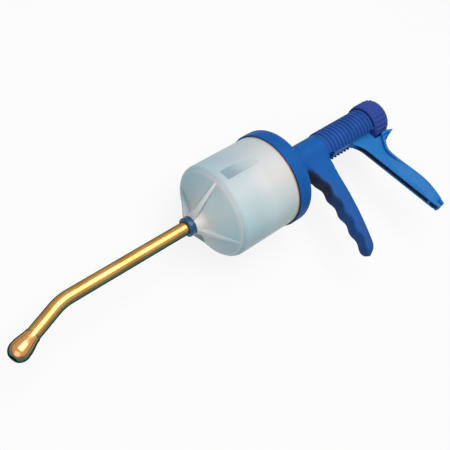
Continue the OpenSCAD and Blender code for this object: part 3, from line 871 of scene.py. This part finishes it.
# %% Tip
BULB_R = 8.5
RIM_R = 6.2
HOLE_R = 3.3
HOLE_LEN = 9
LIP_R = 0.8
TUBE_FIT = 0.05
BORE_MARGIN = 0.3
tube_hole_r = TUBE_R - TUBE_WALL
ball_at = BULB_LEN - 0.86 * BULB_R
flare = [(0, RIM_R), (2, RIM_R + 0.12), (5, RIM_R + 0.75), (8, RIM_R + 1.5), (11, RIM_R + 2.05)]
dome = arc((ball_at, 0), BULB_R, 100, 36, 14)
lip = arc((BULB_LEN - LIP_R, HOLE_R + LIP_R), LIP_R, 0, -90, 4)
hole_end = BULB_LEN - HOLE_LEN
inside = [(hole_end, HOLE_R), (hole_end, tube_hole_r), (TUBE_SEAT, tube_hole_r)]
seat = [(TUBE_SEAT, TUBE_R + TUBE_FIT), (0, TUBE_R + TUBE_FIT)]
tip_outline = flare + dome + lip + inside + seat
tip_start = bend_corner + tip_axis * (TIP_REACH - BULB_LEN)
tip_points = [
    tip_start + tip_axis * along + Vector((0, 0, radius)) for along, radius in closed(tip_outline)
]
tip = draw_line("tip_bulb", tip_points)
spin_line(tip, 96, tip_start, tip_axis)
paint(tip, tip_alloy)
# The faces inside the tip's hole get the near-black finish, a painted shade.
tip.data.materials.append(bore_painted_shade)
for face in tip.data.polygons:
    out = face.center / MM - tip_start
    out -= tip_axis * out.dot(tip_axis)
    face.material_index = int(out.length < HOLE_R + BORE_MARGIN)
# The tip gets the same painted dark reflections along its sides.
store(tip, "painted_reflection", painted_reflection_at)
finish(tip, "copper", "body", "nozzle_tip")

# %% Outlet collar
COLLAR_R = 8.5
COLLAR_LEN = 6
COLLAR_EDGE = 1.5
COLLAR_BACK_EDGE = 0.6
collar_front = -BOSS_END - COLLAR_LEN
collar_hole_r = TUBE_R + TUBE_FIT
collar_nose = arc((collar_front + COLLAR_EDGE, COLLAR_R - COLLAR_EDGE), COLLAR_EDGE, 90, 180, 6)
collar_heel = arc((-BOSS_END - COLLAR_BACK_EDGE, COLLAR_R - COLLAR_BACK_EDGE), COLLAR_BACK_EDGE, 0, 90, 4)
collar = turned(
    "outlet_collar_ring",
    [(-BOSS_END, collar_hole_r)] + collar_heel + collar_nose + [(collar_front, collar_hole_r)], 96
)
paint(collar, collar_plastic)
finish(collar, "nut_blue", "body", "outlet_collar")

# %% [markdown]
# ## What shows through the barrel
# The piston, rod and seals keep their solids, because the milky wall blurs them, and only take their
# finishes.

# %% Inner pieces
INNER = {
    white_plastic: ("piston_front", "piston_back", "rod_bush"),
    pale_rubber: ("piston_seal", "nozzle_seal"),
    gasket_rubber: ("barrel_gasket",),
    steel: ("piston_rod", "rod_pin", "piston_washer", "piston_screw"),
    brass: ("nozzle_ferrule",),
}
for material, names in INNER.items():
    for name in names:
        paint(frame["nodes"][name], material)
print("inner pieces finished:", sum(len(names) for names in INNER.values()))

# %% [markdown]
# ## Stage, light and camera
# The gun lies on a plain pale floor under one large soft lamp, with a weak one in front, in a quiet
# room. The floor is white to the camera, in reflections and through the barrel, and part of it is still
# lit, so it keeps the gun's shadow. Reflections see a room that is dark near the floor and pale above.

# %% Floor
FLOOR_SIZE = 40.0
FLOOR_GLOW = 0.86
FLOOR_TONE = 0.8
FLOOR_BOUNCE = 0.36
FLOOR_GAP = 0.2
floor_z = cad_low.z - FLOOR_GAP * MM
bpy.ops.object.select_all(action="DESELECT")
bpy.ops.mesh.primitive_plane_add(size=FLOOR_SIZE, location=(0, 0, floor_z))
floor = bpy.context.object
floor.name = "floor"
floor_paint = bpy.data.materials.new("floor_paint")
floor_paint.use_nodes = True
floor_tree = floor_paint.node_tree
floor_tree.nodes.clear()
lit = floor_tree.nodes.new("ShaderNodeBsdfDiffuse")
tone = floor_tree.nodes.new("ShaderNodeMapRange")
tone.inputs["To Min"].default_value = FLOOR_BOUNCE
tone.inputs["To Max"].default_value = FLOOR_TONE
glow = floor_tree.nodes.new("ShaderNodeEmission")
rays = floor_tree.nodes.new("ShaderNodeLightPath")
seen = floor_tree.nodes.new("ShaderNodeMath")
seen.operation = "MAXIMUM"
seen_all = floor_tree.nodes.new("ShaderNodeMath")
seen_all.operation = "MAXIMUM"
share = floor_tree.nodes.new("ShaderNodeMath")
share.operation = "MULTIPLY"
share.inputs[1].default_value = FLOOR_GLOW
mix = floor_tree.nodes.new("ShaderNodeMixShader")
output = floor_tree.nodes.new("ShaderNodeOutputMaterial")
floor_tree.links.new(rays.outputs["Is Camera Ray"], seen.inputs[0])
floor_tree.links.new(rays.outputs["Is Glossy Ray"], seen.inputs[1])
floor_tree.links.new(seen.outputs[0], seen_all.inputs[0])
floor_tree.links.new(rays.outputs["Is Transmission Ray"], seen_all.inputs[1])
floor_tree.links.new(seen_all.outputs[0], share.inputs[0])
floor_tree.links.new(seen_all.outputs[0], tone.inputs["Value"])
floor_tree.links.new(tone.outputs["Result"], lit.inputs["Color"])
floor_tree.links.new(share.outputs[0], mix.inputs["Fac"])
floor_tree.links.new(lit.outputs[0], mix.inputs[1])
floor_tree.links.new(glow.outputs[0], mix.inputs[2])
floor_tree.links.new(mix.outputs[0], output.inputs["Surface"])
floor.data.materials.append(floor_paint)
print("floor at", round(floor_z / MM, 1), "mm")

# %% World and lamps
world = bpy.data.worlds.new("quiet_room")
bpy.context.scene.world = world
world.use_nodes = True
room_tree = world.node_tree
direction = room_tree.nodes.new("ShaderNodeTexCoord")
parts = room_tree.nodes.new("ShaderNodeSeparateXYZ")
room_tree.links.new(direction.outputs["Generated"], parts.inputs["Vector"])
height = parts.outputs["Z"]
sky = ramp(room_tree, height, (0.2, 0.2, 0.2, 1), (0.34, 0.34, 0.34, 1), 0.0, 0.9)
mirrored = ramp(room_tree, height, (0.06, 0.06, 0.06, 1), (0.7, 0.7, 0.7, 1), 0.1, 0.22)
ray_kind = room_tree.nodes.new("ShaderNodeLightPath")
room = room_tree.nodes.new("ShaderNodeMix")
room.data_type = "RGBA"
room_tree.links.new(ray_kind.outputs["Is Glossy Ray"], room.inputs["Factor"])
room_tree.links.new(sky, room.inputs["A"])
room_tree.links.new(mirrored, room.inputs["B"])
room_tree.links.new(room.outputs["Result"], room_tree.nodes["Background"].inputs["Color"])


def soft_lamp(name, place, aim, size, watts):
    bpy.ops.object.light_add(type="AREA", location=place)
    lamp = bpy.context.object
    lamp.name = name
    lamp.data.shape = "SQUARE"
    lamp.data.size = size
    lamp.data.energy = watts
    lamp.rotation_euler = (Vector(aim) - Vector(place)).to_track_quat("-Z", "Y").to_euler()


soft_lamp("key", (0.1, 0.0, 1.1), (0.0, -0.02, 0), 1.0, 11.2)
soft_lamp("front", (-0.9, -0.35, 0.45), (-0.03, 0.0, 0.0), 0.8, 1.8)
print("lamps: a soft key above and a weak one in front")

# %% [markdown]
# The camera stands where the photographer stood: in front of the gun, above it, and tilted so that the
# barrel rises to the right. Its place and its right and view directions are written in the gun's own
# frame.

# %% Camera
CAMERA_AT = Vector((-374.0, -133.4, 519.7)) * MM
LOOK = Vector((0.509, 0.1915, -0.840)).normalized()
RIGHT = Vector((0.736, -0.603, 0.309))
LENS = 59.67
right = (RIGHT - LOOK * RIGHT.dot(LOOK)).normalized()
up = right.cross(LOOK)
bpy.ops.object.camera_add(location=CAMERA_AT)
camera = bpy.context.object
camera_turn = Matrix((right, up, -LOOK)).transposed().to_4x4()
camera.matrix_world = Matrix.Translation(CAMERA_AT) @ camera_turn
camera.data.sensor_width = 36
camera.data.sensor_fit = "HORIZONTAL"
camera.data.lens = LENS
camera.data.clip_start = 0.01
bpy.context.scene.camera = camera
bpy.context.scene.view_settings.view_transform = "Standard"
print("camera at", [round(v / MM) for v in CAMERA_AT], "mm")
